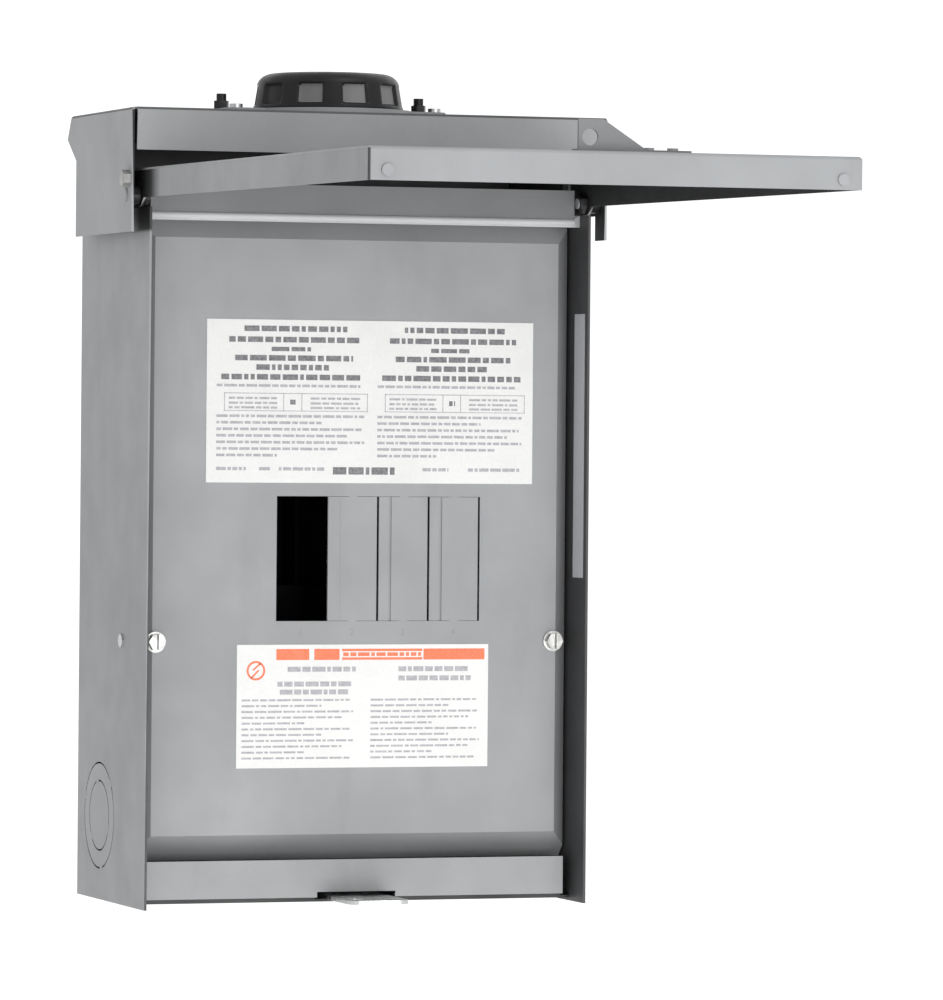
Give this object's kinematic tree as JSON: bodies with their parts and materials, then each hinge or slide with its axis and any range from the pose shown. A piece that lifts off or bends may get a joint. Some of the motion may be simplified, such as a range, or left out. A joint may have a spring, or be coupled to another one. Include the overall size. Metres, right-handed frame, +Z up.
{
  "type": "residential load center",
  "caption": "Outdoor load center box with a lift-up door, rain cap with closed hub opening, dead front with breaker spaces, bus bars, lugs and neutral bar.",
  "frame": {"origin": "centre of the four wall holes, on the wall plane", "axes": "+X to the viewer's right, -Y out of the wall towards the viewer, +Z up"},
  "size_m": [0.2432, 0.4446, 0.3956],
  "materials": {
    "painted_grey": "baked light grey enamel, satin",
    "zinc_steel": "bright zinc plated",
    "black_plastic": "moulded, fine texture",
    "black_steel": "black oxide",
    "gasket_rubber": "soft foam rubber",
    "aluminium_bar": "extruded, tin plated",
    "label_paper": "coated paper",
    "label_grey": "coated paper"
  },
  "bodies": {
    "box": {"enclosure_wrapper": "painted_grey", "bottom_endwall": "painted_grey", "top_rail": "painted_grey", "rain_cap": "painted_grey", "cap_brackets": "painted_grey", "dead_front": "painted_grey", "twistout_2": "painted_grey", "twistout_3": "painted_grey", "twistout_4": "painted_grey", "hub_plate": "painted_grey", "hinge_pins": "painted_grey", "side_knockout_rings": "painted_grey", "side_knockout_discs": "painted_grey", "bottom_knockout_rings": "painted_grey", "bottom_knockout_discs": "painted_grey", "back_knockout_disc": "painted_grey", "hasp_tab": "zinc_steel", "stay_screws": "zinc_steel", "hub_front_screws": "zinc_steel", "dead_front_screws": "zinc_steel", "dead_front_brackets": "zinc_steel", "bracket_rivets": "zinc_steel", "interior_pan": "zinc_steel", "interior_screws": "zinc_steel", "breaker_hook_rail": "zinc_steel", "bonding_screw": "zinc_steel", "neutral_screws": "zinc_steel", "ground_screws": "zinc_steel", "main_lug_screws": "zinc_steel", "neutral_lug_screw": "zinc_steel", "hub_lock_ring": "zinc_steel", "hub_cap": "black_plastic", "interior_base": "black_plastic", "bus_cover": "black_plastic", "neutral_standoffs": "black_plastic", "hinge_spacers": "black_plastic", "hub_rear_screws": "black_steel", "hinge_nuts": "black_steel", "hub_gasket": "gasket_rubber", "line_bus_a": "aluminium_bar", "line_bus_b": "aluminium_bar", "main_lugs": "aluminium_bar", "neutral_bar": "aluminium_bar", "neutral_lug": "aluminium_bar", "ground_bar": "aluminium_bar", "bonding_strap": "aluminium_bar", "rating_label": "label_paper", "warning_label": "label_paper", "side_label": "label_grey"},
    "door": {"door": "painted_grey", "door_pull": "painted_grey", "door_pull_rivets": "painted_grey", "door_corner_rivets": "painted_grey"}
  },
  "joints": [
    {"name": "door_hinge", "type": "hinge", "parent": "box", "child": "door", "pos_m": [0, -0.1039, 0.1637], "axis": [1, 0, 0], "range_deg": [-18, 89.5]}
  ]
}
